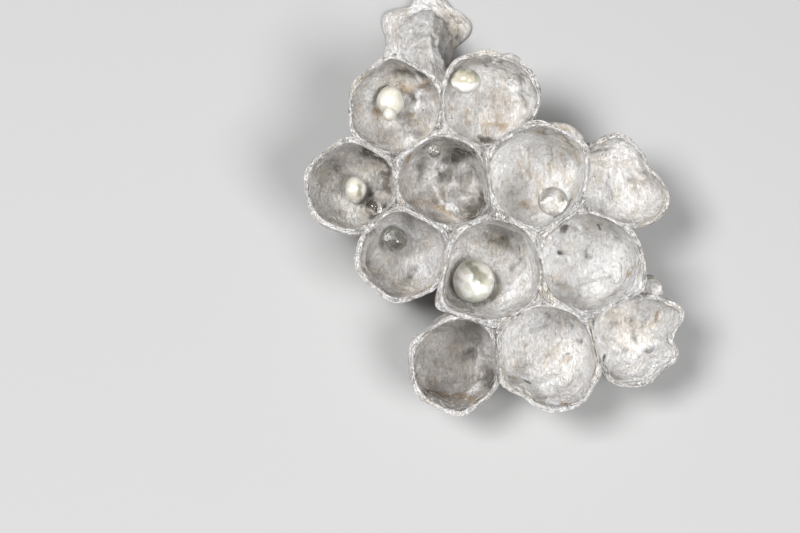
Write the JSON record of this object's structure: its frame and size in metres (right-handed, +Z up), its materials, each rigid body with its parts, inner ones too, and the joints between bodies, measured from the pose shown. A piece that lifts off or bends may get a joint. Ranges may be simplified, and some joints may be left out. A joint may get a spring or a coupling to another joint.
{
  "type": "wasp nest",
  "caption": "Young paper comb of a social wasp, open cells of thin grey fibre on a short stalk with a cut foot, with eggs and clear drops inside.",
  "frame": {"origin": "middle of the nest's box, on the surface that it lies on", "axes": "+Z up, out of the cell mouths; +Y along the comb towards the stalk and its cut foot; +X to the right across the comb"},
  "size_m": [0.0197, 0.0254, 0.0094],
  "materials": {
    "paper": "matte fibrous grey paper with pale rims and tan streaks",
    "egg": "pearly, wet, slightly see-through",
    "drop": "clear glossy liquid"
  },
  "bodies": {
    "root": {"paper_comb": "paper", "egg_top_left": "egg", "bead_top_left": "egg", "egg_top_right": "egg", "egg_left": "egg", "egg_middle": "egg", "drop_left": "drop", "drop_centre": "drop", "drop_right": "drop", "drop_low_left": "drop", "drop_on_rim": "drop"}
  },
  "joints": []
}
